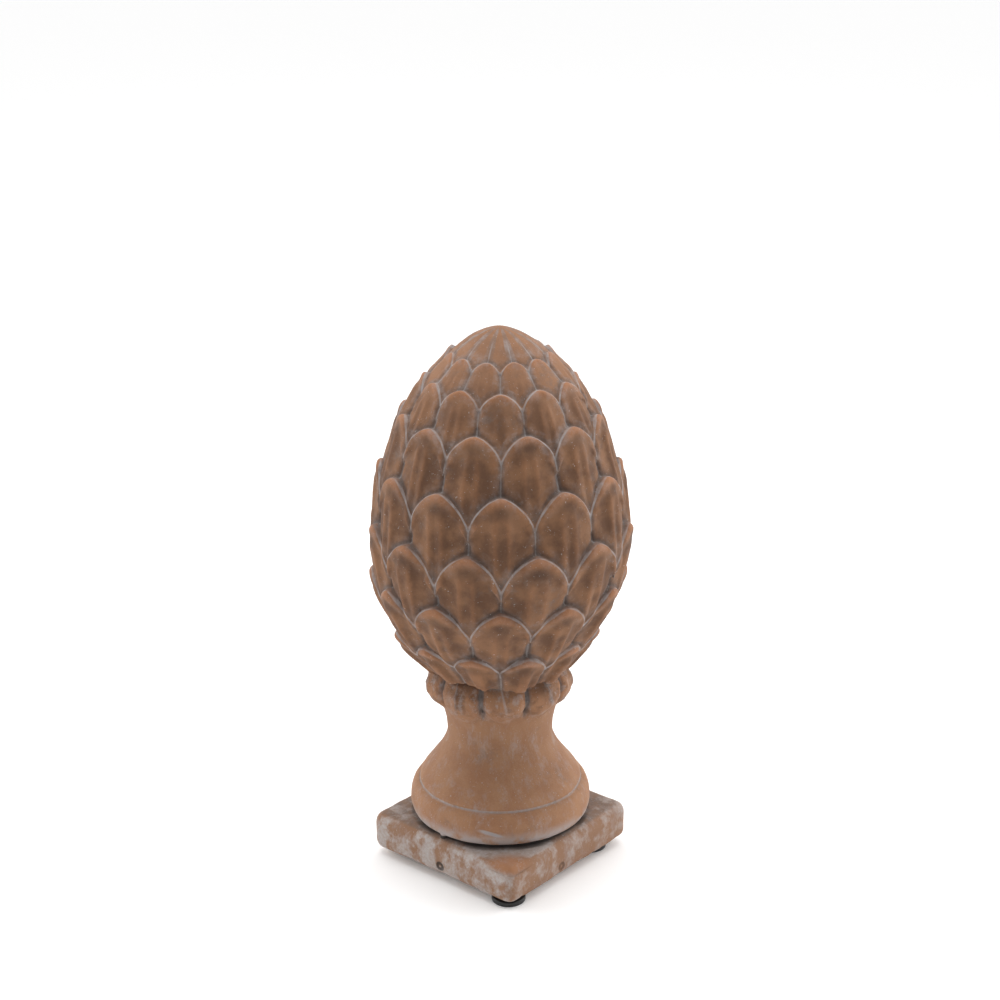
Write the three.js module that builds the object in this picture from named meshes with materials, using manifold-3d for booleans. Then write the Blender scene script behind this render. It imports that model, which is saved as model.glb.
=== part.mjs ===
// A pinecone finial: one terracotta-coloured casting that stands on four rubber pads.
// Millimetres, +Z up. The origin is the middle of the underside, on the surface that the pads rest on.
// The plinth's sides face +X, -X, +Y and -Y.
import * as THREE from "three";
import { mergeVertices } from "three/addons/utils/BufferGeometryUtils.js";
import Module from "manifold-3d";

// Pads: rubber discs, glued under the plinth by hand. Each has its own two insets, from the plinth's
// side that faces X and from the one that faces Y to the middle of the pad.
const padDiameter = 18;
const padThickness = 2.7;
const padChamfer = 0.6;
const padGap = 0.3;
const padPlaces = [
  { name: "front_pad", corner: [1, -1], insets: [11, 11] },
  { name: "right_pad", corner: [1, 1], insets: [13.3, 17] },
  { name: "back_pad", corner: [-1, 1], insets: [14, 14] },
  { name: "left_pad", corner: [-1, -1], insets: [18, 18] },
];

// Plinth, with a round mark from a mould plug low on two of its sides
const plinthSide = 100;
const plinthHeight = 22;
const plinthCornerRadius = 6;
const plinthTopRounding = 3;
const plinthBottomRounding = 1;
const plugDiameter = 4.6;
const plugDepth = 0.9;
const plugHeight = 6.5;
const plugPlaces = [
  { turn: -90, along: 0 },
  { turn: 0, along: -8 },
];

// Foot, with its heights measured up from the plinth's top
const footDiameter = 98;
const stemDiameter = 89;
const stemHeight = 1.2;
const cushionWidest = 8.5;
const cushionHeight = 19.5;
const ringDiameter = 88;
const ringGroove = 1.4;
const neckDiameter = 56.4;
const neckHeight = 49;
const neckFlare = 5;
const footHeight = 66;

// Collar of leaves under the cone
const collarDiameter = 78;
const collarHeight = 21;
const collarLeaves = 9;
const collarTurn = -45;
const leafFold = 5.5;
const leafDroop = 4;

// Cone, from its base up to its widest level, and from there to its tip
const coneDiameter = 139;
const coneBaseDiameter = 74;
const coneBaseLatitude = 44;
const coneLower = 70;
const coneUpper = 115.7;
const coneTaperPower = 1.2;

// Scales: the tips of each row lie at a latitude, in degrees from the cone's widest level, and stand a
// little way out from the cone's envelope.
const scalesPerRow = 12;
const coneTurn = -47.5;
const rowLatitudes = [-27, -8.3, 8, 23.4, 39.6, 52.8, 64.5];
const archShare = 1.15;
const archPointPower = 1.6;
const archSidePower = 0.65;
const archCut = 0.98;
const tipStand = 1.3;
const lipThickness = 5.6;
const lipThinning = 0.8;
const facePower = 2.6;
const keelHeight = 1.1;
const keelShare = 0.35;
const hollowDepth = 1.3;
const hollowMiddleShare = 0.55;
const hollowSpreadShare = 0.3;
const grooveDepth = 1.6;
const edgeFall = 4.2;

const plinthBottom = padThickness + padGap;
const plinthTop = plinthBottom + plinthHeight;
const collarBottom = plinthTop + footHeight;
const coneBottom = collarBottom + collarHeight;
const coneWidest = coneBottom + coneLower;
const quarterTurn = Math.PI / 2;
const scalePitch = (2 * Math.PI) / scalesPerRow;
const leafPitch = (2 * Math.PI) / collarLeaves;

const wasm = await Module();
wasm.setup();

// A closed skin over rings of points, lowest first, each ring counter-clockwise seen from above.
// Each four-sided cell is split along its shorter diagonal, and a fan closes both ends.
function skin(rings) {
  const count = rings[0].length;
  const points = rings.flat();
  const faces = [];
  for (let i = 0; i + 1 < rings.length; i++) {
    for (let j = 0; j < count; j++) {
      const a = i * count + j;
      const b = i * count + ((j + 1) % count);
      const c = b + count;
      const d = a + count;
      if (points[a].distanceTo(points[c]) < points[b].distanceTo(points[d])) {
        faces.push(a, b, c, a, c, d);
      } else {
        faces.push(a, b, d, b, c, d);
      }
    }
  }
  const bottom = points.push(middle(rings[0])) - 1;
  const top = points.push(middle(rings.at(-1))) - 1;
  const last = (rings.length - 1) * count;
  for (let j = 0; j < count; j++) {
    const next = (j + 1) % count;
    faces.push(bottom, next, j);
    faces.push(top, last + j, last + next);
  }
  const geometry = new THREE.BufferGeometry().setFromPoints(points);
  geometry.setIndex(faces);
  return geometry;
}

function middle(ring) {
  const sum = new THREE.Vector3();
  ring.forEach((point) => sum.add(point));
  return sum.divideScalar(ring.length);
}

// A ring of points round the Z axis. The place function gives [radius, height] at an angle from the turn.
function ringOf(count, turn, place) {
  const ring = [];
  for (let j = 0; j < count; j++) {
    const angle = (2 * Math.PI * j) / count;
    const [radius, height] = place(angle);
    const at = angle + THREE.MathUtils.degToRad(turn);
    ring.push(new THREE.Vector3(radius * Math.cos(at), radius * Math.sin(at), height));
  }
  return ring;
}

// A turned form about the Z axis, from [radius, height] pairs that start and end on the axis.
function turned(profile, segments) {
  const points = profile.map(([radius, height]) => new THREE.Vector2(radius, height));
  return new THREE.LatheGeometry(points, segments).rotateX(quarterTurn);
}

// A geometry as a solid that can be joined and cut, and a solid as a geometry again.
function solid(geometry) {
  const bare = geometry.clone();
  bare.deleteAttribute("normal");
  bare.deleteAttribute("uv");
  const merged = mergeVertices(bare, 1e-4);
  return new wasm.Manifold(
    new wasm.Mesh({
      numProp: 3,
      vertProperties: new Float32Array(merged.attributes.position.array),
      triVerts: new Uint32Array(merged.index.array),
    }),
  );
}

function geometryOf(body) {
  const mesh = body.getMesh();
  const geometry = new THREE.BufferGeometry();
  geometry.setAttribute("position", new THREE.BufferAttribute(mesh.vertProperties, 3));
  geometry.setIndex(new THREE.BufferAttribute(mesh.triVerts, 1));
  geometry.computeVertexNormals();
  return geometry;
}

// One level of the plinth: a square with rounded corners, drawn in from the plinth's sides by an inset.
function plinthRing(inset, height) {
  const cornerSteps = 5;
  const radius = Math.max(plinthCornerRadius - inset, plinthBottomRounding / 2);
  const reach = plinthSide / 2 - inset - radius;
  const ring = [];
  for (let corner = 0; corner < 4; corner++) {
    const start = corner * quarterTurn;
    const diagonal = start + quarterTurn / 2;
    const x = reach * Math.SQRT2 * Math.cos(diagonal);
    const y = reach * Math.SQRT2 * Math.sin(diagonal);
    for (let i = 0; i <= cornerSteps; i++) {
      const angle = start + (i / cornerSteps) * quarterTurn;
      ring.push(new THREE.Vector3(x + radius * Math.cos(angle), y + radius * Math.sin(angle), height));
    }
  }
  return ring;
}

// The plinth: a square block whose top edge is rounded over and whose bottom edge is eased.
function plinth() {
  const edgeSteps = 4;
  const rings = [
    plinthRing(plinthBottomRounding, plinthBottom),
    plinthRing(0, plinthBottom + plinthBottomRounding),
  ];
  for (let i = 0; i <= edgeSteps; i++) {
    const angle = (i / edgeSteps) * quarterTurn;
    const inset = plinthTopRounding * (1 - Math.cos(angle));
    const below = plinthTopRounding * (1 - Math.sin(angle));
    rings.push(plinthRing(inset, plinthTop - below));
  }
  return skin(rings);
}

// The cutter of a plug mark: a shallow round pit that leaves a small raised middle. It is made on the
// side that faces +X, some way along it from the middle, and turned to its own side.
function plugMark({ turn, along }) {
  const face = plinthSide / 2;
  const radius = plugDiameter / 2;
  const raised = radius / 2;
  const profile = [
    [0, face - plugDepth / 2],
    [raised, face - plugDepth / 2],
    [raised, face - plugDepth],
    [radius, face - plugDepth],
    [radius, face + plugDepth],
    [0, face + plugDepth],
  ];
  const cutter = turned(profile, 12).rotateY(quarterTurn);
  return cutter.translate(0, along, plinthBottom + plugHeight).rotateZ(THREE.MathUtils.degToRad(turn));
}

// The cushion's outline between two levels: a quarter of an oval that bulges to the foot's radius.
function cushionArc(fromRadius, fromHeight, toHeight, steps) {
  const bulge = footDiameter / 2 - fromRadius;
  const arc = [];
  for (let i = 0; i <= steps; i++) {
    const angle = (i / steps) * quarterTurn;
    const radius = fromRadius + bulge * Math.sin(angle);
    const height = toHeight - (toHeight - fromHeight) * Math.cos(angle);
    arc.push([radius, plinthTop + height]);
  }
  return arc;
}

// The foot: a short stem, a cushion, a thin ring groove, and a bell that sweeps up to the neck.
function foot() {
  const stem = stemDiameter / 2;
  const ring = ringDiameter / 2;
  const neck = neckDiameter / 2;
  const sunk = plinthTop - plinthTopRounding;
  const lower = cushionArc(stem, stemHeight, cushionWidest, 3);
  const upper = cushionArc(ring, cushionHeight, cushionWidest, 4).reverse();
  const profile = [[0, sunk], [stem, sunk], ...lower, ...upper.slice(1)];
  profile.push([ring - ringGroove, plinthTop + cushionHeight + ringGroove / 2]);
  const bellSteps = 5;
  const bellBottom = cushionHeight + ringGroove;
  for (let i = 0; i <= bellSteps; i++) {
    const share = i / bellSteps;
    const swell = (1 - share ** 1.3) ** 1.85;
    const height = bellBottom + share * (neckHeight - bellBottom);
    profile.push([neck + (ring - neck) * swell, plinthTop + height]);
  }
  const flareSteps = 2;
  for (let i = 1; i <= flareSteps; i++) {
    const share = i / flareSteps;
    const height = neckHeight + share * (footHeight - neckHeight);
    profile.push([neck + neckFlare * share ** 2, plinthTop + height]);
  }
  profile.push([0, collarBottom]);
  return turned(profile, 48);
}

// The collar: leaves that roll out from under the cone and down, with folds and higher ends between them.
function collar() {
  const inner = neckDiameter / 2;
  const bulge = collarDiameter / 2 - inner;
  const shares = [-0.15, 0, 0.2, 0.42, 0.66, 0.9, 1.15];
  const rings = shares.map((share) =>
    ringOf(6 * collarLeaves, collarTurn, (angle) => {
      const across = Math.abs(angle / leafPitch - Math.round(angle / leafPitch)) * 2;
      const roll = Math.sin(Math.PI * ((share + 0.15) / 1.3)) ** 0.6;
      const radius = inner + bulge * roll - leafFold * across ** 3 * roll;
      const lift = leafDroop * across ** 2 * (1 - share);
      return [radius, collarBottom + share * collarHeight + lift];
    }),
  );
  return skin(rings);
}

// The cone's envelope: the point [radius, height] at a latitude, pushed out square to the surface.
function envelope(latitude, out) {
  const base = THREE.MathUtils.degToRad(coneBaseLatitude);
  const basePower = Math.log(coneBaseDiameter / coneDiameter) / Math.log(Math.cos(base));
  const power = latitude > 0 ? coneTaperPower : basePower;
  const rise = latitude > 0 ? coneUpper : coneLower / Math.sin(base);
  const radius = (coneDiameter / 2) * Math.cos(latitude) ** power;
  const height = coneWidest + rise * Math.sin(latitude);
  const along = rise * Math.cos(latitude);
  const inward = radius * power * Math.tan(latitude);
  const length = Math.hypot(along, inward);
  return [radius + (out * along) / length, height + (out * inward) / length];
}

// How far an angle is from the middle of the nearest scale of a row: 0 on its keel, 1 where two scales
// meet. Each row is turned by half a scale against the row below.
function acrossScale(row, angle) {
  const place = angle / scalePitch + (row % 2 === 0 ? 0.5 : 0);
  return 2 * Math.abs(place - Math.round(place));
}

function tipLatitude(row) {
  return THREE.MathUtils.degToRad(rowLatitudes[row]);
}

// The latitude of a row's arched edge: a slightly pointed arch over each scale, as high as archShare of
// its half width, measured along the surface, and cut short where two scales meet.
function archLatitude(row, angle) {
  const tip = tipLatitude(row);
  const step = 0.01;
  const [lowRadius, lowHeight] = envelope(tip - step, 0);
  const [highRadius, highHeight] = envelope(tip + step, 0);
  const lengthPerRadian = Math.hypot(highRadius - lowRadius, highHeight - lowHeight) / (2 * step);
  const halfWidth = (envelope(tip, 0)[0] * scalePitch) / 2;
  const drop = (archShare * halfWidth) / lengthPerRadian;
  const across = acrossScale(row, angle);
  return tip - drop * (1 - (1 - archCut * across ** archPointPower) ** archSidePower);
}

// The edge of a scale stands out from the envelope at its tip and falls away behind it at its sides.
function edgeOffset(row, angle) {
  return tipStand - (tipStand + edgeFall) * acrossScale(row, angle) ** 2;
}

// The foot of the next scale, behind a row's edge. Small scales, and the sides of a scale, have thin lips.
function behindLip(row, angle) {
  const size = (2 * envelope(tipLatitude(row), 0)[0]) / coneDiameter;
  const thinning = 1 - lipThinning * acrossScale(row, angle);
  return edgeOffset(row, angle) - lipThickness * (0.35 + 0.65 * size) * thinning;
}

// The carving at a share of the way up a scale: a keel between two hollows, and grooves at the sides.
function faceOffset(row, angle, share) {
  const across = acrossScale(row, angle);
  const start = row === 0 ? 0 : behindLip(row - 1, angle);
  const middleHeight = Math.sin(Math.PI * share);
  const keel = keelHeight * Math.exp(-((across / keelShare) ** 2)) * middleHeight;
  const fromHollow = (across - hollowMiddleShare) / hollowSpreadShare;
  const hollow = hollowDepth * Math.exp(-(fromHollow ** 2)) * middleHeight;
  const groove = grooveDepth * across ** 8 * (1 - share / 2);
  return start + (edgeOffset(row, angle) - start) * share ** facePower + keel - hollow - groove;
}

// The visible face of one row of scales, from behind the row below up to its arched edge.
function scaleRings(row) {
  const shares = [0, 0.45, 0.86, 1];
  return shares.map((share) =>
    ringOf(8 * scalesPerRow, coneTurn, (angle) => {
      const base = -THREE.MathUtils.degToRad(coneBaseLatitude);
      const from = row === 0 ? base : archLatitude(row - 1, angle);
      const latitude = from + share * (archLatitude(row, angle) - from);
      const out = share === 1 ? edgeOffset(row, angle) : faceOffset(row, angle, share);
      return envelope(latitude, out);
    }),
  );
}

// The bud above the last row: smooth, with grooves that fade as they run up to the tip.
function budRings() {
  const lastRow = rowLatitudes.length - 1;
  const shares = [0, 0.3, 0.65];
  return shares.map((share) =>
    ringOf(8 * scalesPerRow, coneTurn, (angle) => {
      const from = archLatitude(lastRow, angle);
      const latitude = from + share * (quarterTurn - from);
      const groove = grooveDepth * acrossScale(lastRow + 1, angle) ** 4;
      return envelope(latitude, (behindLip(lastRow, angle) - groove) * (1 - share));
    }),
  );
}

// The cone: rows of overlapping scales under a bud, whose fan closes at the tip.
function cone() {
  const rings = rowLatitudes.flatMap((latitude, row) => scaleRings(row));
  const geometry = skin([...rings, ...budRings()]);
  const position = geometry.attributes.position;
  position.setZ(position.count - 1, coneWidest + coneUpper);
  return geometry;
}

// The casting is one solid: the plinth, foot, collar and cone run into each other.
function casting() {
  let body = solid(plinth());
  for (const place of plugPlaces) {
    body = body.subtract(solid(plugMark(place)));
  }
  for (const form of [foot(), collar(), cone()]) {
    body = body.add(solid(form));
  }
  return geometryOf(body);
}

// A pad: a rubber disc with a chamfer round its lower edge.
function pad() {
  const radius = padDiameter / 2;
  const profile = [
    [0, 0],
    [radius - padChamfer, 0],
    [radius, padChamfer],
    [radius, padThickness],
    [0, padThickness],
  ];
  return turned(profile, 16);
}

const terracotta = new THREE.MeshStandardMaterial({ color: 0x8a5a3e, roughness: 0.85, metalness: 0 });
const rubber = new THREE.MeshStandardMaterial({ color: 0x161514, roughness: 0.7, metalness: 0 });

const finial = new THREE.Group();
const castingMesh = new THREE.Mesh(casting(), terracotta);
castingMesh.name = "casting";
finial.add(castingMesh);
for (const { name, corner, insets } of padPlaces) {
  const [x, y] = insets.map((inset, axis) => corner[axis] * (plinthSide / 2 - inset));
  const padMesh = new THREE.Mesh(pad(), rubber);
  padMesh.name = name;
  padMesh.position.set(x, y, 0);
  finial.add(padMesh);
}

export default finial;
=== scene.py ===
import math
import bpy
import numpy as np
from mathutils import Matrix, Vector


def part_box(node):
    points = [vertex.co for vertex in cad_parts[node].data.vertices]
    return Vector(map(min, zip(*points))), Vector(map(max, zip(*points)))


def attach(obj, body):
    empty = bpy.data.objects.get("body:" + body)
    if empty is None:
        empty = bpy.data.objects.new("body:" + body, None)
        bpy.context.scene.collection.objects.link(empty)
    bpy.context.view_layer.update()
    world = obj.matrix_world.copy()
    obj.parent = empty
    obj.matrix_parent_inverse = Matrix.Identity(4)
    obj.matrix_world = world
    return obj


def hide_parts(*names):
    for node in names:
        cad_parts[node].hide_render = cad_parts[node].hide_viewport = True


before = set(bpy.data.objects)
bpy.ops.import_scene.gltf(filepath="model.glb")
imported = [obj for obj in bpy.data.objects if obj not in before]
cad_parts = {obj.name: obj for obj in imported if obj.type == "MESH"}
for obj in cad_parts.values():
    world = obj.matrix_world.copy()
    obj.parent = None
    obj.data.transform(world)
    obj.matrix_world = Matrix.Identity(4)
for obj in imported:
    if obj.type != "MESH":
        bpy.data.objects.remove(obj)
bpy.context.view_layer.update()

# Camera
# A long lens a metre from the finial, a little above its top and looking down on it, so that one
# corner of the plinth comes towards the camera.
camera_turn = math.radians(40.81)
camera_distance = 1.0
camera_height = 0.57
camera_pitch = math.radians(20.1)
camera_roll = math.radians(-0.36)
camera_yaw = math.radians(0.05)

camera_data = bpy.data.cameras.new("camera")
camera_data.sensor_width = 36
camera_data.lens = 73.84
camera_data.clip_start = 0.05
camera = bpy.data.objects.new("camera", camera_data)
bpy.context.scene.collection.objects.link(camera)
bpy.context.scene.camera = camera

heading = Matrix.Rotation(camera_turn, 3, "Z")
forward = Vector((math.sin(camera_yaw) * math.cos(camera_pitch),
                  math.cos(camera_yaw) * math.cos(camera_pitch),
                  -math.sin(camera_pitch)))
level = Vector((math.cos(camera_yaw), -math.sin(camera_yaw), 0))
upward = level.cross(forward)
right = level * math.cos(camera_roll) + upward * math.sin(camera_roll)
top = upward * math.cos(camera_roll) - level * math.sin(camera_roll)
axes = Matrix((heading @ right, heading @ top, heading @ -forward)).transposed()
place = heading @ Vector((0, -camera_distance, 0))
place.z = camera_height
camera.matrix_world = Matrix.Translation(place) @ axes.to_4x4()

# Studio
# A pale table and a white room, with a soft box overhead and one on each side of the finial. The
# camera's side is the dimmest, so the faces that look at it are darker than the flanks.
bpy.context.scene.view_settings.view_transform = "Standard"
world = bpy.data.worlds.new("white_room")
world.use_nodes = True
bpy.context.scene.world = world
room_nodes, room_links = world.node_tree.nodes, world.node_tree.links
room_nodes["Background"].inputs["Color"].default_value = (1, 1, 1, 1)
towards = room_nodes.new("ShaderNodeTexCoord")
dim_side = room_nodes.new("ShaderNodeVectorMath")
dim_side.operation = "DOT_PRODUCT"
dim_side.inputs[1].default_value = heading @ Vector((0, -1, 0))
strength = room_nodes.new("ShaderNodeMapRange")
strength.interpolation_type = "SMOOTHSTEP"
strength.inputs["From Min"].default_value = -0.2
strength.inputs["From Max"].default_value = 0.85
strength.inputs["To Min"].default_value = 1.2
strength.inputs["To Max"].default_value = 0.25
room_links.new(towards.outputs["Generated"], dim_side.inputs[0])
room_links.new(dim_side.outputs["Value"], strength.inputs["Value"])
room_links.new(strength.outputs["Result"], room_nodes["Background"].inputs["Strength"])


def soft_box(name, across, back, height, width, watts):
    """A square lamp, placed across and behind the finial as the camera sees it, aimed at the cone."""
    lamp_data = bpy.data.lights.new(name, "AREA")
    lamp_data.size = width
    lamp_data.energy = watts
    lamp = bpy.data.objects.new(name, lamp_data)
    bpy.context.scene.collection.objects.link(lamp)
    lamp.location = heading @ Vector((across, back, height))
    aim = Vector((0, 0, 0.15)) - lamp.location
    lamp.rotation_euler = aim.to_track_quat("-Z", "Y").to_euler()


soft_box("lamp_overhead", across=0.0, back=0.15, height=1.5, width=1.2, watts=10)
soft_box("lamp_left", across=-1.1, back=0.25, height=0.55, width=1.0, watts=4)
soft_box("lamp_right", across=1.1, back=0.25, height=0.55, width=1.0, watts=6)

bpy.ops.object.select_all(action="DESELECT")
bpy.ops.mesh.primitive_plane_add(size=60)
table = bpy.context.object
table.name = "table"
pale = bpy.data.materials.new("pale_table")
pale.use_nodes = True
table_shader = pale.node_tree.nodes["Principled BSDF"]
table_shader.inputs["Base Color"].default_value = (0.97, 0.97, 0.97, 1)
table_shader.inputs["Roughness"].default_value = 0.9
table_shader.inputs["Emission Color"].default_value = (1, 1, 1, 1)
table_shader.inputs["Emission Strength"].default_value = 0.08
table.data.materials.append(pale)

# Cone
# Seven rows of twelve overlapping scales round an egg, all pressed in one mould from one body of clay.
# Each row is turned by half a scale. A scale has a lip, a dip under its tip, a keel and two hollows.
MM = 0.001
cone_widest = 182.0
cone_radius = 69.5
cone_upper = 115.7
cone_upper_power = 1.2
cone_base_latitude = math.radians(44)
cone_base_radius = 37.0
cone_base_drop = 70.0
cone_lower = cone_base_drop / math.sin(cone_base_latitude)
cone_lower_power = math.log(cone_base_radius / cone_radius) / math.log(math.cos(cone_base_latitude))
cone_turn = math.radians(-47.5)
scales_round = 12
scale_pitch = math.radians(360 / scales_round)
row_tips = np.radians([-27, -8.3, 8, 23.4, 39.6, 52.8, 64.5])
row_stands = np.array([1.2, 1.4, 2.2, 1.4, 1.0, 0.6, 0.1])
row_arches = [1.05, 1.15, 1.2, 1.15, 1.1, 1.05, 1.1]
arch_cut = 0.98
arch_power = 1.6
arch_roundness = 0.65
side_fall = 4.4
side_round = 0.9
lip_thickness = 4.8
lip_swell = 0.4
keel_height = 2.4
keel_width = 0.30
hollow_depth = 0.9
dip_depth = 0.8
scale_tuck = 7.0
scale_back = 13.0
core_depth = 8.0
hand = np.random.default_rng(7)


def cone_point(latitude, out):
    """The radius and height of the egg at a latitude, pushed out square to its surface."""
    above = latitude > 0
    power = np.where(above, cone_upper_power, cone_lower_power)
    rise = np.where(above, cone_upper, cone_lower)
    radius = cone_radius * np.maximum(np.cos(latitude), 1e-6) ** power
    along = rise * np.cos(latitude)
    inward = radius * power * np.tan(latitude)
    length = np.hypot(along, inward)
    return radius + out * along / length, cone_widest + rise * np.sin(latitude) + out * inward / length


def length_per_radian(latitude):
    """How many millimetres of the egg's outline go with a radian of latitude."""
    step = 0.01
    low = cone_point(latitude - step, 0)
    high = cone_point(latitude + step, 0)
    return np.hypot(high[0] - low[0], high[1] - low[1]) / (2 * step)


def row_size(row):
    """The girth of the egg at a row's tips, as a share of its widest."""
    return cone_point(row_tips[row], 0)[0] / cone_radius


def arch_latitude(row, across):
    """The latitude of a row's arched edge, 0 across on a scale's keel and 1 where two scales meet."""
    tip = row_tips[row]
    half_width = cone_point(tip, 0)[0] * scale_pitch / 2
    drop = row_arches[row] * half_width / length_per_radian(tip)
    return tip - drop * (1 - (1 - arch_cut * across ** arch_power) ** arch_roundness)


def edge_out(row, across):
    """How far a scale's edge stands out from the egg at its tip, and falls behind it at its sides."""
    fall = side_fall * (0.3 + 0.7 * row_size(row))
    return row_stands[row] - (row_stands[row] + fall) * across ** 2


def lip_height(row, across):
    """How far the foot of the next scale lies behind a row's edge."""
    return lip_thickness * (0.1 + 0.9 * row_size(row)) * (1 - 0.97 * across) ** 1.2


def bump(distance, width):
    """A smooth hump, 1 high where the distance is nothing and about a third at the width."""
    return np.exp(-(distance / width) ** 2)


def ease(value):
    """A smooth step from 0 to 1."""
    value = np.clip(value, 0, 1)
    return value * value * (3 - 2 * value)


def shaped_scale(row, across, rise, keel_strength):
    """The latitude and offset of a scale's face, from -1 to 1 across it and 0 to 1 up it."""
    side = np.abs(across)
    own_edge = arch_latitude(row, side)
    if row == 0:
        lower_edge = np.full_like(across, -cone_base_latitude)
        start = np.full_like(across, -1.0)
        hidden = 0.0
    else:
        lower_edge = arch_latitude(row - 1, 1 - side)
        start = edge_out(row - 1, 1 - side) - lip_height(row - 1, 1 - side)
        start = start - row_stands[row - 1] * bump(1 - side, 0.5) - 0.5 * (1 - side)
        hidden = scale_tuck / length_per_radian(row_tips[row])
    bottom = lower_edge - hidden
    latitude = bottom + rise * (own_edge - bottom)
    share = (latitude - lower_edge) / (own_edge - lower_edge)

    # A flat pattern of the scale in millimetres gives the distance of each point from its outline.
    size = row_size(row)
    run = length_per_radian(latitude)
    half_width = cone_point(latitude, 0)[0] * scale_pitch / 2
    x, y = across * half_width, (latitude - row_tips[row]) * run
    edge_across = np.sin(np.linspace(-math.pi / 2, math.pi / 2, 121))
    edge_latitude = arch_latitude(row, np.abs(edge_across))
    edge_x = edge_across * cone_point(edge_latitude, 0)[0] * scale_pitch / 2
    edge_y = (edge_latitude - row_tips[row]) * length_per_radian(edge_latitude)
    to_arch = np.min(np.hypot(x[:, None] - edge_x[None], y[:, None] - edge_y[None]), axis=1)
    to_side = (1 - side) * half_width
    to_edge = np.minimum(to_arch, to_side)

    edge_round = size * (1.2 + 3.8 * bump(side, 0.5))
    near_edge = np.clip(1 - to_edge / edge_round, 0, 1)
    rounding = edge_round * (1 - np.sqrt(1 - near_edge ** 2))
    rounding = rounding + side_round * size * bump(to_side, 1.2)
    climb = np.sign(share) * np.abs(share) ** (3 - side ** 2)
    face = start + (edge_out(row, side) - start) * climb
    below_lip = ease((to_arch - 3) / 7)
    keel = keel_height * keel_strength * size / (1 + (side / keel_width) ** 8) * below_lip
    hollow = hollow_depth * size * bump(side - 0.58, 0.22) * ease(share / 0.35) * ease((to_edge - 1) / 6)
    dip = dip_depth * size * bump(to_arch - 8 * size, 3.4 * size) * bump(across, 0.32)
    lip = lip_swell * size * bump(to_arch - 3.2 * size, 2.6 * size) * bump(side, 0.36)
    return latitude, face + keel - hollow - dip + lip - rounding


def thick_sheet(columns, rows):
    """A flat sheet with a second face over it, closed all round, and the places of its points."""
    bpy.ops.object.select_all(action="DESELECT")
    bpy.ops.mesh.primitive_grid_add(x_subdivisions=columns, y_subdivisions=rows, size=2)
    sheet = bpy.context.object
    bpy.ops.object.mode_set(mode="EDIT")
    bpy.ops.mesh.select_all(action="SELECT")
    bpy.ops.mesh.extrude_region_move(TRANSFORM_OT_translate={"value": (0, 0, 1)})
    bpy.ops.mesh.select_all(action="SELECT")
    bpy.ops.mesh.normals_make_consistent(inside=False)
    bpy.ops.object.mode_set(mode="OBJECT")
    places = np.empty(len(sheet.data.vertices) * 3)
    sheet.data.vertices.foreach_get("co", places)
    return sheet, places.reshape(-1, 3)


def laid_round(blank, name, radius, angle, height):
    """A copy of a blank, its points laid round the Z axis at their radius, angle and height."""
    points = np.stack([radius * np.cos(angle), radius * np.sin(angle), height], axis=1) * MM
    mesh = blank.data.copy()
    mesh.vertices.foreach_set("co", points.ravel())
    form = bpy.data.objects.new(name, mesh)
    bpy.context.scene.collection.objects.link(form)
    return form


scale_blank, flat = thick_sheet(44, 60)
blank_across = np.sin(flat[:, 0] * math.pi / 2)
blank_rise = (flat[:, 1] + 1) / 2
blank_outer = flat[:, 2] > 0.5
scales = []
for row in range(len(row_tips)):
    for number in range(scales_round):
        latitude, out = shaped_scale(row, blank_across, blank_rise, hand.uniform(0.75, 1.2))
        lift = hand.uniform(-0.5, 0.5)
        out = np.where(blank_outer, out + lift, -scale_back)
        turn = cone_turn + scale_pitch * (number + (0.5 if row % 2 == 0 else 0))
        angle = turn + blank_across * scale_pitch / 2
        radius, height = cone_point(latitude, out)
        scales.append(laid_round(scale_blank, f"scale_{row}_{number}", radius, angle, height))
bpy.data.objects.remove(scale_blank)


def turned(name, profile, steps):
    """A closed form spun round the Z axis from a line of [radius, height] in millimetres."""
    mesh = bpy.data.meshes.new(name)
    mesh.from_pydata([(r * MM, 0, z * MM) for r, z in profile],
                     [(i, i + 1) for i in range(len(profile) - 1)], [])
    form = bpy.data.objects.new(name, mesh)
    bpy.context.scene.collection.objects.link(form)
    bpy.ops.object.select_all(action="DESELECT")
    bpy.context.view_layer.objects.active = form
    form.select_set(True)
    bpy.ops.object.mode_set(mode="EDIT")
    bpy.ops.mesh.select_all(action="SELECT")
    bpy.ops.mesh.spin(steps=steps, angle=2 * math.pi, center=(0, 0, 0), axis=(0, 0, 1))
    bpy.ops.mesh.select_all(action="SELECT")
    bpy.ops.mesh.remove_doubles(threshold=1e-6)
    bpy.ops.mesh.normals_make_consistent(inside=False)
    bpy.ops.object.mode_set(mode="OBJECT")
    return form


core_latitudes = np.radians(np.linspace(-44, 60, 60))
core_radius, core_height = cone_point(core_latitudes, np.full(60, -core_depth))
core_profile = [(0, core_height[0])] + list(zip(core_radius, core_height)) + [(0, core_height[-1])]
core = turned("core", core_profile, 96)

# The bud closes the top.
bud_latitudes = np.radians(np.concatenate([np.linspace(50, 88, 76), [89.0, 89.99]]))
bud_share = np.clip((bud_latitudes - row_tips[-1]) / (math.pi / 2 - row_tips[-1]), 0, 1)
bud_out = -lip_height(len(row_tips) - 1, 0) * (1 - bud_share)
bud_radius, bud_height = cone_point(bud_latitudes, bud_out)
bud_profile = [(0, bud_height[0])] + list(zip(bud_radius, bud_height))
bud_profile[-1] = (0, bud_height[-1])
bud = turned("bud", bud_profile, 144)

# Collar
# Nine thick leaves of the same clay roll out from under the cone and down on to the neck. Each has a
# raised vein, and a fold is pressed in between neighbours.
plinth_top = 25.0
collar_bottom = 91.0
neck_radius = 28.2
leaves_round = 9
leaf_pitch = math.radians(360 / leaves_round)
collar_turn = math.radians(-45)
leaf_bulge = 10.8
leaf_height = 21.0
leaf_back = 18.0

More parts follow.
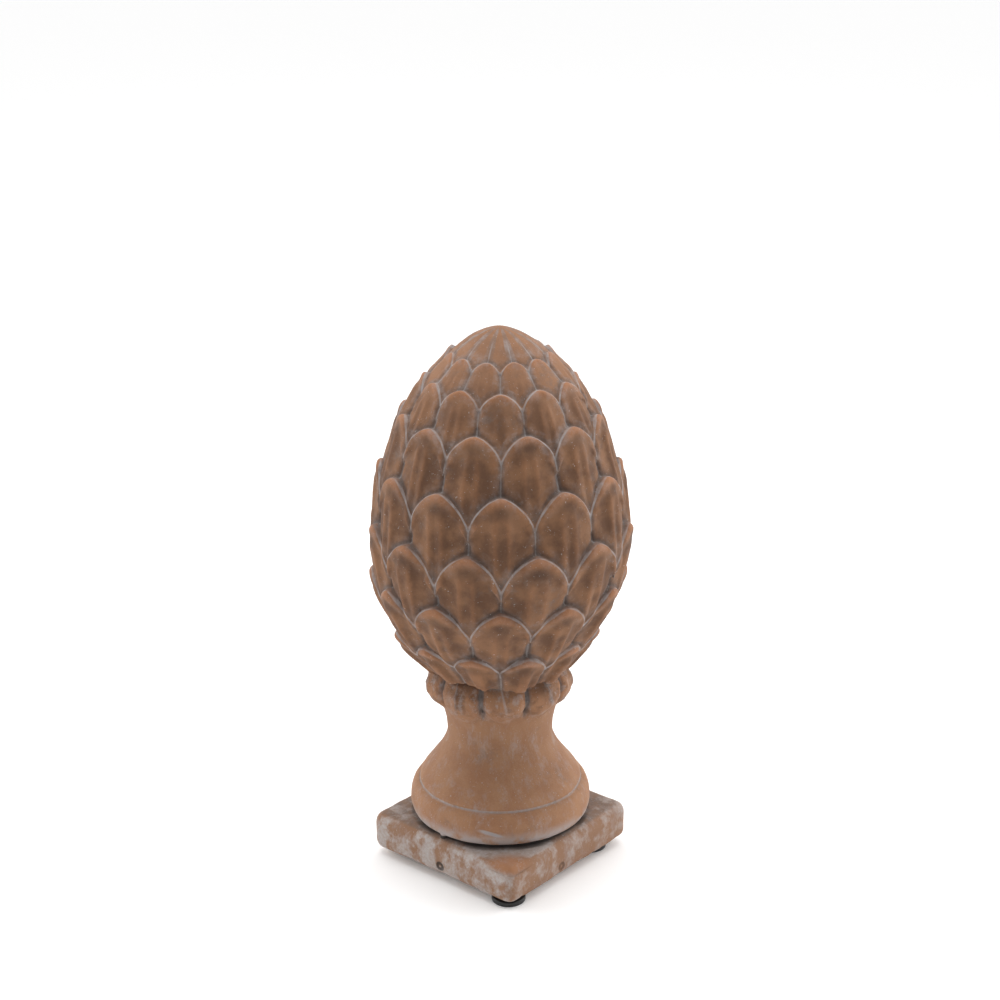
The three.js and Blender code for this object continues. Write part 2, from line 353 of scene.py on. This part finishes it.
leaf_blank, flat = thick_sheet(30, 36)
across = flat[:, 0]
side = np.abs(across)
rise = (flat[:, 1] + 1) / 2
share = -0.12 + rise * 1.27
roll = np.sin(math.pi * np.clip((share + 0.12) / 1.35, 0, 1)) ** 0.7
lobe = 1 - 0.42 * side ** 4
leaves = []
for number in range(leaves_round):
    bulge = leaf_bulge + hand.uniform(-0.8, 0.8)
    out = neck_radius + bulge * roll * lobe
    out = out - 0.8 * bump(side - 0.35, 0.2) * ease((share - 0.3) / 0.3)
    out = np.where(flat[:, 2] > 0.5, out, leaf_back)
    height = collar_bottom + share * leaf_height + 5.0 * side ** 2 * (1 - share)
    height = height + hand.uniform(-0.8, 0.8)
    angle = collar_turn + leaf_pitch * number + across * leaf_pitch / 2 * 1.02
    leaves.append(laid_round(leaf_blank, f"leaf_{number}", out, angle, height))
bpy.data.objects.remove(leaf_blank)

# Foot
# A turned bell of the same clay sweeps down from the neck to a thin ring groove and a fat cushion,
# which is undercut where it stands on the plinth.
ring_radius = 44.0
ring_depth = 1.6
stem_radius = 44.5
cushion_radius = 49.0
cushion_widest = 8.5
cushion_top = 19.5
bell_bottom = 20.9
neck_height = 49.0
throat_height = 22.0
throat_flare = 5.0
undercut_depth = 3.5
undercut_height = 1.5
foot_root = 6.0

foot_profile = [(0, plinth_top - foot_root),
                (stem_radius - undercut_depth, plinth_top - foot_root),
                (stem_radius - undercut_depth, plinth_top + undercut_height - 0.5)]
for i in range(13):
    a = i / 12 * math.pi / 2
    foot_profile.append((stem_radius + (cushion_radius - stem_radius) * math.sin(a),
                         plinth_top + cushion_widest - (cushion_widest - undercut_height) * math.cos(a)))
for i in range(1, 17):
    a = i / 16 * math.pi / 2
    foot_profile.append((ring_radius + (cushion_radius - ring_radius) * math.cos(a),
                         plinth_top + cushion_widest + (cushion_top - cushion_widest) * math.sin(a)))
foot_profile.append((ring_radius - ring_depth, plinth_top + cushion_top + 0.3))
foot_profile.append((ring_radius - ring_depth, plinth_top + bell_bottom - 0.1))
for i in range(49):
    share = i / 48
    swell = (1 - share ** 1.3) ** 1.85
    foot_profile.append((neck_radius + (ring_radius - neck_radius) * swell,
                         plinth_top + bell_bottom + share * (neck_height - bell_bottom)))
for i in range(1, 25):
    share = i / 24
    foot_profile.append((neck_radius + throat_flare * share ** 2,
                         plinth_top + neck_height + share * throat_height))
foot_profile.append((0, plinth_top + neck_height + throat_height))
foot = turned("foot", foot_profile, 256)

# A lump of clay bridges the undercut in one place.
bridge_turn = math.radians(-91)
bridge_out = 46.0
bpy.ops.object.select_all(action="DESELECT")
bpy.ops.mesh.primitive_uv_sphere_add(segments=24, ring_count=12, radius=1.6 * MM,
                                     location=(bridge_out * MM * math.cos(bridge_turn),
                                               bridge_out * MM * math.sin(bridge_turn),
                                               (plinth_top + 0.6) * MM))
bridge = bpy.context.object

# Plinth
# A square block of the same clay, cast in one with the foot. Its corners are rounded, and its top edge
# is worn round.
plinth_side = 100.0
plinth_bottom = 3.0

bpy.ops.object.select_all(action="DESELECT")
bpy.ops.mesh.primitive_cube_add(size=1, location=(0, 0, (plinth_bottom + plinth_top) / 2 * MM),
                                scale=(plinth_side * MM, plinth_side * MM,
                                       (plinth_top - plinth_bottom) * MM))
plinth = bpy.context.object
plinth.name = "plinth"
bpy.ops.object.transform_apply(location=True, rotation=True, scale=True)


def bevel_edges(form, wanted, width, segments):
    """Rounds the edges whose two ends both pass a test."""
    bpy.ops.object.mode_set(mode="EDIT")
    bpy.ops.mesh.select_all(action="DESELECT")
    bpy.ops.object.mode_set(mode="OBJECT")
    corners = form.data.vertices
    for edge in form.data.edges:
        edge.select = wanted(corners[edge.vertices[0]].co, corners[edge.vertices[1]].co)
    bpy.ops.object.mode_set(mode="EDIT")
    bpy.ops.mesh.select_mode(type="EDGE")
    bpy.ops.mesh.bevel(offset=width * MM, segments=segments, profile=0.5)
    bpy.ops.object.mode_set(mode="OBJECT")


bevel_edges(plinth, lambda a, b: abs(a.z - b.z) > 5 * MM, width=6, segments=8)
bevel_edges(plinth, lambda a, b: min(a.z, b.z) > (plinth_top - 0.1) * MM, width=2.4, segments=6)
bevel_edges(plinth, lambda a, b: max(a.z, b.z) < (plinth_bottom + 0.1) * MM, width=1, segments=2)

# Casting
# The forms come out of one mould: they are fused into a single skin of fired clay, softened as a cast
# is, and given the small faults of the real one.
bpy.ops.object.select_all(action="DESELECT")
for form in [core, bud, foot, bridge, plinth, *scales, *leaves]:
    form.select_set(True)
bpy.context.view_layer.objects.active = core
bpy.ops.object.join()
casting = bpy.context.object
casting.name = "finial_casting"
fuse = casting.modifiers.new("fuse", "REMESH")
fuse.mode = "VOXEL"
voxel = 0.72
fuse.voxel_size = voxel * MM
fuse.adaptivity = 0
bpy.ops.object.modifier_apply(modifier=fuse.name)
soften = casting.modifiers.new("soften", "SMOOTH")
soften.factor = 0.5
soften.iterations = 2
bpy.ops.object.modifier_apply(modifier=soften.name)

count = len(casting.data.vertices)
skin = np.empty(count * 3)
casting.data.vertices.foreach_get("co", skin)
skin = skin.reshape(-1, 3) / MM
pairs = np.empty(len(casting.data.edges) * 2, dtype=np.int64)
casting.data.edges.foreach_get("vertices", pairs)
pairs = pairs.reshape(-1, 2)
ends = np.concatenate([pairs[:, 0], pairs[:, 1]])
starts = np.concatenate([pairs[:, 1], pairs[:, 0]])
valence = np.maximum(np.bincount(ends, minlength=count), 1)


def relaxed(points, reach):
    """The skin's points, each averaged with those within about the reach in millimetres."""
    points = points.copy()
    for _ in range(round((reach / voxel) ** 2 / 0.3)):
        for k in range(points.shape[1]):
            mean = np.bincount(ends, weights=points[starts, k], minlength=count) / valence
            points[:, k] += 0.6 * (mean - points[:, k])
    return points


def skin_normals(points):
    """Moves the casting's skin to its new points, and gives the directions that it faces."""
    casting.data.vertices.foreach_set("co", (points * MM).ravel())
    casting.data.update()
    found = np.empty(count * 3)
    casting.data.vertices.foreach_get("normal", found)
    return found.reshape(-1, 3)


def waves(points, length, seed):
    """A smooth, repeatable unevenness between about -1 and 1, with waves of a given length."""
    draw = np.random.default_rng(seed)
    total = np.zeros(len(points))
    for _ in range(14):
        direction = draw.normal(size=3)
        direction /= np.linalg.norm(direction)
        number = 2 * math.pi / (length * draw.uniform(0.7, 1.5))
        total += np.sin(points @ direction * number + draw.uniform(0, 2 * math.pi))
    return total / 5.0


def latitude_of(radius, height):
    """The latitude at which the egg lies nearest to a point."""
    rise = np.where(height > cone_widest, cone_upper, cone_lower)
    latitude = np.arctan2((height - cone_widest) / rise, radius / cone_radius)
    for _ in range(10):
        latitude = np.clip(latitude, -1.0, 1.56)
        power = np.where(latitude > 0, cone_upper_power, cone_lower_power)
        rise = np.where(latitude > 0, cone_upper, cone_lower)
        near_radius, near_height = cone_point(latitude, 0)
        along, inward = rise * np.cos(latitude), near_radius * power * np.tan(latitude)
        miss = (height - near_height) * along - (radius - near_radius) * inward
        latitude = latitude + 0.8 * miss / (along ** 2 + inward ** 2)
    return latitude


# Where each point lies on the pattern of scales: its row, its place across and up its own scale, and
# from those the signed distances in millimetres to the arched edges and to the side seams. Each goes
# with the cosine of the same place, which tells a real edge from the middle of a scale. The bud counts
# as one more row.
row_count = len(row_tips)
latitude = latitude_of(np.hypot(skin[:, 0], skin[:, 1]), skin[:, 2])
turn_here = (np.arctan2(skin[:, 1], skin[:, 0]) - cone_turn) / scale_pitch
half_width = cone_point(latitude, 0)[0] * scale_pitch / 2
run = length_per_radian(latitude)
acrosses, edges, slants = [], [np.full(count, -cone_base_latitude)], [np.ones(count)]
for row in range(row_count + 1):
    steps = turn_here - (0.5 if row % 2 == 0 else 0)
    acrosses.append(2 * (steps - np.round(steps)))
    if row < row_count:
        side = np.abs(acrosses[row])
        edges.append(arch_latitude(row, side))
        ahead = arch_latitude(row, np.minimum(side + 0.01, 1))
        fall = ahead - arch_latitude(row, np.maximum(side - 0.01, 0))
        slants.append(1 / np.hypot(1, fall / 0.02 * run / half_width))
edges.append(np.full(count, math.pi / 2))
slants.append(np.ones(count))
acrosses, edges, slants = np.array(acrosses), np.array(edges), np.array(slants)
row_here = np.sum(latitude[None] > edges[1:row_count + 1], axis=0)
own = np.arange(count)
across, lower, upper = acrosses[row_here, own], edges[row_here, own], edges[row_here + 1, own]
up_share = np.clip((latitude - lower) / (upper - lower), 0, 1)
length = (upper - lower) * run
below_tip = (1 - up_share) * length
ends_open = np.where((row_here == 0) | (row_here == row_count), 2, 1)
phase = np.where(row_here == 0, 0.5 + up_share / 2, up_share / ends_open) * 2 * math.pi
slant = np.where(phase < math.pi, slants[row_here, own], slants[row_here + 1, own])
from_front = phase < math.pi
front_row = np.maximum(row_here - 1, 0)
edge_across = np.abs(np.where(from_front, acrosses[front_row, own], across))
near_radius, near_height = cone_point(latitude, 0)
out_here = np.hypot(np.hypot(skin[:, 0], skin[:, 1]) - near_radius, skin[:, 2] - near_height)
out_here *= np.sign(np.hypot(skin[:, 0], skin[:, 1]) - near_radius)
edge_row = np.where(from_front, front_row, np.minimum(row_here, row_count - 1))
wall_depth = edge_out(edge_row, edge_across) - out_here
edge_near = np.cos(phase)
edge_distance = np.sin(phase) * length * ends_open / (2 * math.pi) * slant
side_near = -np.cos(math.pi * across)
side_distance = np.sin(math.pi * across) * half_width / math.pi
on_cone = skin[:, 2] > cone_widest - cone_base_drop + 0.5
edge_near = np.where(on_cone, edge_near, -1)
side_near = np.where(on_cone, side_near, -1)
on_scale = on_cone & (row_here < row_count)
# A painted highlight on each scale's tip, where the clay is also rubbed to orange.
tip_wear_and_highlight = bump(np.maximum(below_tip - 2.2, 0), 1.8) * bump(across * half_width, 5.5)
tip_wear_and_highlight = np.where(on_scale, tip_wear_and_highlight, 0)
# Painted shade in the dip under each scale's tip.
tip_shade = bump(below_tip - 8.5, 3.0) * bump(across * half_width, 4.5) * ease(half_width / 16 - 0.3)
tip_shade = np.where(on_scale, tip_shade, 0)

# The seams are cut in by hand after moulding; those of the bud fade out before its tip.
seam_depth = 0.8
seam_end = 291.5
crease_depth = 0.4
fade = ease((seam_end - skin[:, 2]) / 14)
seam = seam_depth * bump(side_distance, 0.9) * (side_near > 0)
seam *= np.where(row_here == row_count, 1.2 * fade, ease(up_share / 0.3))
crease = crease_depth * bump(edge_distance - 0.9, 0.7) * (edge_near > 0)
normals = skin_normals(skin)
skin -= normals * (seam + crease)[:, None]

# Each leaf of the collar has a vein that leans to the left on its way up, and a fold at each side.
collar_end = 114.0
vein_height = 0.7
vein_lean = 0.16
fold_depth = 1.5
in_collar = ease((skin[:, 2] - collar_bottom) / 4) * ease((collar_end - skin[:, 2]) / 2)
leaf_place = (np.arctan2(skin[:, 1], skin[:, 0]) - collar_turn) / leaf_pitch
skin_radius = np.hypot(skin[:, 0], skin[:, 1])
vein_distance = (leaf_place - np.round(leaf_place)) * leaf_pitch * skin_radius
fold_distance = (leaf_place - np.floor(leaf_place) - 0.5) * leaf_pitch * skin_radius
vein_distance = vein_distance + vein_lean * (skin[:, 2] - 104)
vein = vein_height * bump(vein_distance, 0.5) * ease((skin[:, 2] - 98) / 3)
fold = fold_depth * bump(fold_distance, 1.0)
skin += normals * ((vein - fold) * in_collar)[:, None]
drift = np.stack([waves(skin, 45, 11), waves(skin, 45, 12), waves(skin, 45, 13)], axis=1)
skin += 0.4 * drift * ease((skin[:, 2] - 95) / 30)[:, None]

# The cone leans a little to the right as the camera sees it, and its upper rows are turned a little.
cone_lean = 2.6
cone_twist = math.radians(1.6)
rising = ease((skin[:, 2] - 125) / 75)
lean = ease((skin[:, 2] - 108) / 20) * (cone_lean * rising - cone_lean / 2)
twist = -cone_twist * rising
twisted_x = skin[:, 0] * np.cos(twist) - skin[:, 1] * np.sin(twist)
skin[:, 1] = skin[:, 0] * np.sin(twist) + skin[:, 1] * np.cos(twist) + lean * math.sin(camera_turn)
skin[:, 0] = twisted_x + lean * math.cos(camera_turn)
skin += normals * (0.25 * waves(skin, 38, 1) + 0.1 * waves(skin, 11, 2))[:, None]
crumple = ease((skin[:, 2] - 88) / 6) * ease((116 - skin[:, 2]) / 6)
skin += normals * (0.35 * crumple * waves(skin, 8, 5))[:, None]

# The plinth's faces are a little uneven, its lower edge is chipped, and its top is dished by the
# corner. These names are views of the skin, so they follow it as it is worked.
half_side = plinth_side / 2
out_x, out_y, up = skin[:, 0], skin[:, 1], skin[:, 2]
from_side = half_side - np.maximum(np.abs(out_x), np.abs(out_y))
in_plinth = up < plinth_top + 0.8
chip = np.clip(waves(skin, 10, 3) - 0.25, 0, 1) * bump(from_side, 2.5)
chip = chip * bump(up - plinth_bottom, 2.2) * 1.6
skin[:, :2] *= (1 - chip / 60)[:, None]
skin[:, 2] += chip * 0.9
corner_reach = np.hypot(out_x - (half_side - 6), out_y + (half_side - 6))
skin[:, 2] -= np.where(in_plinth & (up > plinth_top - 4), 0.9 * bump(corner_reach - 6, 7), 0)

# Two plug marks are pressed into its sides, and a scrape runs along the cushion.
plug_height = 9.5
right_plug_along = -8.0
scrape_turn = math.radians(-55)
scrape_height = 34.5
for depth, face_at, along, middle in ((out_y, -half_side, out_x, 0),
                                      (out_x, half_side, out_y, right_plug_along)):
    from_mark = np.hypot(along - middle, up - plug_height)
    press = (0.9 * bump(from_mark - 1.75, 0.7) + 0.2 * bump(from_mark, 2.6)) * bump(depth - face_at, 1.5)
    depth -= math.copysign(1, face_at) * press
scrape_side = np.arctan2(out_y, out_x) - scrape_turn
scrape_rise = up - scrape_height + 2.2 * np.sin(scrape_side * 6)
scrape = 1.3 * bump(scrape_side * cushion_radius, 6.5) * bump(scrape_rise, 1.6)
skin[:, :2] *= (1 - scrape / cushion_radius)[:, None]

normals = skin_normals(skin)
eased = relaxed(skin, 0.8)
hollow_fine = np.sum((relaxed(eased, 1.2) - eased) * normals, axis=1)
hollow_broad = np.sum((relaxed(eased, 3.2) - eased) * normals, axis=1)
skin_normals(skin)
for name, values in (("hollow_fine", hollow_fine), ("hollow_broad", hollow_broad),
                     ("edge_near", edge_near), ("edge_distance", edge_distance),
                     ("side_near", side_near), ("side_distance", side_distance),
                     ("tip_wear_and_highlight", tip_wear_and_highlight), ("tip_shade", tip_shade),
                     ("vein", vein * in_collar), ("fold", fold * in_collar), ("wall_depth", wall_depth)):
    layer = casting.data.attributes.new(name, "FLOAT", "POINT")
    layer.data.foreach_set("value", values.astype(np.float32))

# The skin is thinned where it is plain, and least along the seams.
most_triangles = 190000
by_arch = (np.abs(edge_distance) < 0.9) & (edge_near > 0)
by_seam = (np.abs(side_distance) < 0.7) & (side_near > 0)
plain = casting.vertex_groups.new(name="plain")
plain.add(np.flatnonzero(~(by_arch | by_seam)).tolist(), 1.0, "REPLACE")
faces_now = sum(len(p.vertices) - 2 for p in casting.data.polygons)
thin = casting.modifiers.new("thin", "DECIMATE")
thin.ratio = min(1, most_triangles / faces_now)
thin.vertex_group = plain.name
thin.vertex_group_factor = 0.05
bpy.ops.object.modifier_apply(modifier=thin.name)
casting.vertex_groups.clear()
bpy.ops.object.select_all(action="DESELECT")
casting.select_set(True)
bpy.context.view_layer.objects.active = casting
bpy.ops.object.shade_smooth()

# One clay all over, with a pale wash that was brushed on and wiped off again, so that it stays in the
# seams and on the plinth. The heights and distances that the material compares are in metres.
clay = bpy.data.materials.new("washed_terracotta")
clay.use_nodes = True
nodes, links = clay.node_tree.nodes, clay.node_tree.links
shader = nodes["Principled BSDF"]
shader.inputs["Roughness"].default_value = 0.78
shader.inputs["Specular IOR Level"].default_value = 0.3
where = nodes.new("ShaderNodeTexCoord")


def cloud(size_mm, detail, roughness=0.55, low=0.35, high=0.65, tallness=1.0):
    """Noise of a given size, drawn out upwards by the tallness, and spread over 0 to 1."""
    squeeze = nodes.new("ShaderNodeVectorMath")
    squeeze.operation = "MULTIPLY"
    squeeze.inputs[1].default_value = (1, 1, 1 / tallness)
    links.new(where.outputs["Object"], squeeze.inputs[0])
    noise = nodes.new("ShaderNodeTexNoise")
    noise.inputs["Scale"].default_value = 1000 / size_mm
    noise.inputs["Detail"].default_value = detail
    noise.inputs["Roughness"].default_value = roughness
    links.new(squeeze.outputs["Vector"], noise.inputs["Vector"])
    return spread(noise.outputs["Fac"], low, high)


def spread(value, low, high):
    """Maps low to 0 and high to 1, smoothly."""
    band = nodes.new("ShaderNodeMapRange")
    band.interpolation_type = "SMOOTHSTEP"
    band.inputs["From Min"].default_value = low
    band.inputs["From Max"].default_value = high
    links.new(value, band.inputs["Value"])
    return band.outputs["Result"]


def sums(operation, a, b):
    """One sum of two numbers or node values."""
    node = nodes.new("ShaderNodeMath")
    node.operation = operation
    for socket, value in zip(node.inputs, (a, b)):
        if isinstance(value, (int, float)):
            socket.default_value = value
        else:
            links.new(value, socket)
    return node.outputs["Value"]


def blended(factor, below, above):
    """One colour over another."""
    mix = nodes.new("ShaderNodeMix")
    mix.data_type = "RGBA"
    links.new(factor, mix.inputs["Factor"])
    for socket, colour in ((mix.inputs["A"], below), (mix.inputs["B"], above)):
        if isinstance(colour, tuple):
            socket.default_value = (*colour, 1)
        else:
            links.new(colour, socket)
    return mix.outputs["Result"]


def coated(below, above, *masks):
    """The clay under a coat of another colour, as strong as all its masks multiplied together."""
    return blended(product(*masks), below, above)


def skin_value(name):
    """A value that the casting's skin carries from point to point."""
    node = nodes.new("ShaderNodeAttribute")
    node.attribute_name = name
    return node.outputs["Fac"]


def product(*values):
    """The numbers and node values multiplied together, the first of them a node value."""
    result = values[0]
    for value in values[1:]:
        result = sums("MULTIPLY", result, value)
    return result


def at_least(base, value, gain):
    """A base with a share of a node value added to it."""
    return sums("ADD", product(value, gain), base)


def lacking(value):
    """1 where a node value is 0, and 0 where it is 1."""
    return sums("SUBTRACT", 1, value)


def reach_of(distance, far, near):
    """1 within the near distance of a line, falling to 0 at the far one."""
    return spread(sums("ABSOLUTE", distance, 0), far, near)


def distance_from(point):
    """How far a point given in millimetres is, in metres."""
    apart = nodes.new("ShaderNodeVectorMath")
    apart.operation = "DISTANCE"
    apart.inputs[1].default_value = Vector(point) * MM
    links.new(where.outputs["Object"], apart.inputs[0])
    return apart.outputs["Value"]


cone_brown = (0.124, 0.060, 0.032)
cone_tan = (0.230, 0.114, 0.058)
foot_brown = (0.305, 0.154, 0.084)
foot_tan = (0.350, 0.186, 0.102)
plinth_brown = (0.26, 0.148, 0.092)
worn_orange = (0.36, 0.160, 0.072)
tip_orange = (0.34, 0.155, 0.078)
bud_tan = (0.33, 0.170, 0.095)
shade_brown = (0.060, 0.034, 0.024)
old_grey = (0.150, 0.122, 0.108)
shadow_and_grime_grey = (0.085, 0.070, 0.064)
wash_grey = (0.37, 0.345, 0.345)
wash_pale = (0.46, 0.43, 0.415)
grime_and_shade = (0.022, 0.018, 0.016)

split = nodes.new("ShaderNodeSeparateXYZ")
links.new(where.outputs["Object"], split.inputs["Vector"])
along_y, height = split.outputs["Y"], split.outputs["Z"]
flatten = nodes.new("ShaderNodeVectorMath")
flatten.operation = "MULTIPLY"
flatten.inputs[1].default_value = (1, 1, 0)
links.new(where.outputs["Object"], flatten.inputs[0])
from_axis = nodes.new("ShaderNodeVectorMath")
from_axis.operation = "LENGTH"
links.new(flatten.outputs["Vector"], from_axis.inputs[0])
from_axis = from_axis.outputs["Value"]
on_foot = spread(height, 0.114, 0.098)
on_plinth = spread(height, 0.0262, 0.0252)
off_cone = spread(height, 0.116, 0.112)
over_neck = spread(height, 0.090, 0.096)
fine_hollow = skin_value("hollow_fine")
broad_hollow = skin_value("hollow_broad")
edge_distance = skin_value("edge_distance")
side_distance = skin_value("side_distance")
by_edge = spread(skin_value("edge_near"), 0.0, 0.3)
by_side = spread(skin_value("side_near"), 0.0, 0.3)
coarse = cloud(13, 4)
medium = cloud(4.5, 5, 0.65, 0.42, 0.66)
small = cloud(1.6, 4, 0.6, 0.3, 0.7)
stipple = cloud(0.9, 3, 0.6, 0.3, 0.7)

# The fired clay: brown on the cone, warmer on the foot, and rubbed to orange at the tips with a painted
# highlight there.
# Painted shade darkens the dips under the tips and the broad hollows of the cone.
body = blended(on_foot, blended(coarse, cone_brown, cone_tan), blended(coarse, foot_brown, foot_tan))
body = coated(body, bud_tan, spread(height, 0.245, 0.288), 0.55)
body = coated(body, old_grey, cloud(22, 3, 0.5, 0.52, 0.68), medium, 0.45)
worn = spread(sums("ADD", broad_hollow, product(medium, -0.25)), -0.05, -0.9)
body = coated(body, worn_orange, worn, 0.3)
# Painted shade in the dips under the tips and in the cone's broad hollows.
body = coated(body, shade_brown, skin_value("tip_shade"), 0.6)
body = coated(body, shade_brown, spread(broad_hollow, 0.15, 0.8), lacking(off_cone), 0.35)
# Orange at the tips: rubbed clay and a painted highlight.
body = coated(body, tip_orange, skin_value("tip_wear_and_highlight"), at_least(0.5, small, 0.5))
body = coated(body, grime_and_shade, stipple, 0.10)

# The pale wash stays in the creases: a line on every edge and a veil around it. Above each edge and on
# the wall behind it lies a dark grey band of grime and painted shadow.
on_wall = spread(skin_value("wall_depth"), 2.2, 3.6)
past_edge = sums("MAXIMUM", spread(edge_distance, 0.4, 1.0), on_wall)
# A dark grey band of grime and painted shadow behind each arched edge.
body = coated(body, shadow_and_grime_grey, by_edge, past_edge, spread(edge_distance, 3.0, 0.6),
              at_least(0.4, medium, 0.3))
body = coated(body, old_grey, by_side, reach_of(side_distance, 2.4, 0.6), 0.4)
veil = sums("MAXIMUM", product(by_edge, reach_of(edge_distance, 6.5, 0.5)),
            product(by_side, reach_of(side_distance, 6.0, 0.3)))
more_above = at_least(0.20, spread(height, 0.21, 0.28), 0.22)
body = coated(body, wash_grey, veil, cloud(6, 5, 0.7, 0.4, 0.75), more_above)
rim = product(by_edge, spread(edge_distance, -0.75, -0.3), spread(edge_distance, 0.55, 0.2),
              lacking(product(on_wall, 0.85)))
line = sums("MAXIMUM", rim, product(by_side, reach_of(side_distance, 0.6, 0.1), 0.75))
line = product(line, spread(height, 0.2945, 0.2880))
body = coated(body, wash_grey, line, at_least(0.3, cloud(5, 4, 0.6, 0.3, 0.7), 0.45))

# On the collar the wash fills the folds, lies on the veins and clouds the leaves.
body = coated(body, wash_grey, skin_value("fold"), at_least(0.3, small, 0.35))
body = coated(body, wash_grey, skin_value("vein"), 0.8)
collar_smudge = product(over_neck, spread(height, 0.116, 0.108), cloud(7, 5, 0.65, 0.45, 0.65))
body = coated(body, shade_brown, collar_smudge, 0.45)
collar_wash = product(over_neck, spread(height, 0.114, 0.110), cloud(5, 6, 0.7, 0.5, 0.66))
body = coated(body, wash_grey, collar_wash, 0.4)

# On the foot it stays in the ring groove, the scrape and low on the cushion.
ring_middle = (plinth_top + (cushion_top + bell_bottom) / 2) * MM
in_groove = spread(sums("ADD", fine_hollow, product(small, 0.05)), 0.08, 0.26)
body = coated(body, old_grey, in_groove, off_cone, 0.7)
ring = product(reach_of(sums("SUBTRACT", height, ring_middle), 0.0008, 0.0002),
               spread(from_axis, 0.040, 0.041))
body = coated(body, wash_grey, ring, at_least(0.3, small, 0.35))
low_cushion = product(spread(height, 0.0365, 0.0290), spread(from_axis, 0.041, 0.043), off_cone)
body = coated(body, wash_grey, low_cushion, lacking(on_plinth), cloud(9, 4, 0.6, 0.3, 0.55), 0.75)
from_scrape = distance_from((cushion_radius * math.cos(scrape_turn),
                             cushion_radius * math.sin(scrape_turn), scrape_height))
in_scrape = product(spread(from_scrape, 0.012, 0.006), spread(fine_hollow, -0.02, 0.12))
body = coated(body, wash_grey, in_scrape, 0.8)
body = coated(body, cone_tan, spread(height, 0.060, 0.076), spread(height, 0.104, 0.096), 0.35)

# The plinth is washed most, in streaks, least on the near corner's top.
from_corner = distance_from((half_side - 2.5, 2.5 - half_side, plinth_top))
by_corner = product(spread(from_corner, 0.019, 0.009), spread(height, 0.020, 0.0235))
body = coated(body, plinth_brown, on_plinth, 0.75)
on_top = product(spread(height, 0.0236, 0.0246), on_plinth)
body = coated(body, old_grey, on_top, at_least(0.45, medium, 0.3))
left_side = spread(along_y, -0.0465, -0.049)
in_front = product(on_top, spread(from_corner, 0.048, 0.028))
streaks = cloud(12, 7, 0.66, 0.0, 1.0, 1.3)
shown = sums("ADD", sums("ADD", streaks, product(in_front, 0.30)),
             sums("ADD", product(left_side, 0.06), product(on_top, -0.10)))
patches = product(spread(shown, 0.42, 0.66), at_least(0.4, cloud(2.0, 5, 0.65, 0.2, 0.75), 0.6),
                  on_plinth, lacking(product(by_corner, 0.8)), at_least(0.62, left_side, 0.3))
body = coated(body, wash_pale, patches)
body = coated(body, worn_orange, by_corner, 0.65)
body = coated(body, wash_grey, cloud(6, 7, 0.75, 0.46, 0.8, 2.2), spread(height, 0.116, 0.100), 0.45)
fleck = spread(sums("ADD", cloud(1.0, 2, 0.5, 0.0, 1.0), product(off_cone, 0.015)), 0.74, 0.8)
body = coated(body, wash_pale, fleck, medium, 0.6)

# The plug marks hold dirt in a ring, more in the one on the left than in the one on the right.
for mark, dirt in (((0, -half_side, plug_height), 0.75),
                   ((half_side, right_plug_along, plug_height), 0.3)):
    off_mark = distance_from(mark)
    body = coated(body, grime_and_shade, spread(off_mark, 0.0031, 0.0025), spread(off_mark, 0.0004, 0.0013), dirt)

# Painted shade darkens the crevice under the cushion and the deep hollows between cone and collar.
under_foot = product(spread(height, 0.0272, 0.0264), spread(height, 0.0246, 0.0252),
                     spread(from_axis, 0.0492, 0.0478))
crevice_shade = sums("MAXIMUM", under_foot, product(spread(broad_hollow, 1.0, 1.9), spread(height, 0.122, 0.116)))
# Painted shade in the crevices.
body = coated(body, grime_and_shade, crevice_shade, 0.9)
links.new(body, shader.inputs["Base Color"])

grain = nodes.new("ShaderNodeTexNoise")
grain.inputs["Scale"].default_value = 1400
grain.inputs["Detail"].default_value = 3
links.new(where.outputs["Object"], grain.inputs["Vector"])
relief = nodes.new("ShaderNodeBump")
relief.inputs["Strength"].default_value = 0.25
relief.inputs["Distance"].default_value = 0.0004
links.new(grain.outputs["Fac"], relief.inputs["Height"])
links.new(relief.outputs["Normal"], shader.inputs["Normal"])
casting.data.materials.clear()
casting.data.materials.append(clay)

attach(casting, "root")
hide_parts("casting")

# Pads
# Four discs of black rubber with a rounded rim, stuck on by hand under the plinth's corners, so that
# the clay doesn't touch the table.
pad_radius = 9.0
rubber = bpy.data.materials.new("pad_rubber")
rubber.use_nodes = True
rubber_shader = rubber.node_tree.nodes["Principled BSDF"]
rubber_shader.inputs["Base Color"].default_value = (0.012, 0.012, 0.012, 1)
rubber_shader.inputs["Roughness"].default_value = 0.45
for node_name in ("front_pad", "right_pad", "back_pad", "left_pad"):
    low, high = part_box(node_name)
    centre = (low + high) / 2
    bpy.ops.object.select_all(action="DESELECT")
    bpy.ops.mesh.primitive_cylinder_add(vertices=64, radius=pad_radius * MM, depth=high.z - low.z,
                                        location=centre, end_fill_type="NGON")
    disc = bpy.context.object
    disc.name = node_name + "_disc"
    bpy.ops.object.transform_apply(location=True, rotation=True, scale=True)
    bevel_edges(disc, lambda a, b: abs(a.z - b.z) < 0.1 * MM, width=0.5, segments=3)
    bpy.ops.object.shade_smooth_by_angle(angle=math.radians(40))
    disc.data.materials.append(rubber)
    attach(disc, "root")
    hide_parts(node_name)
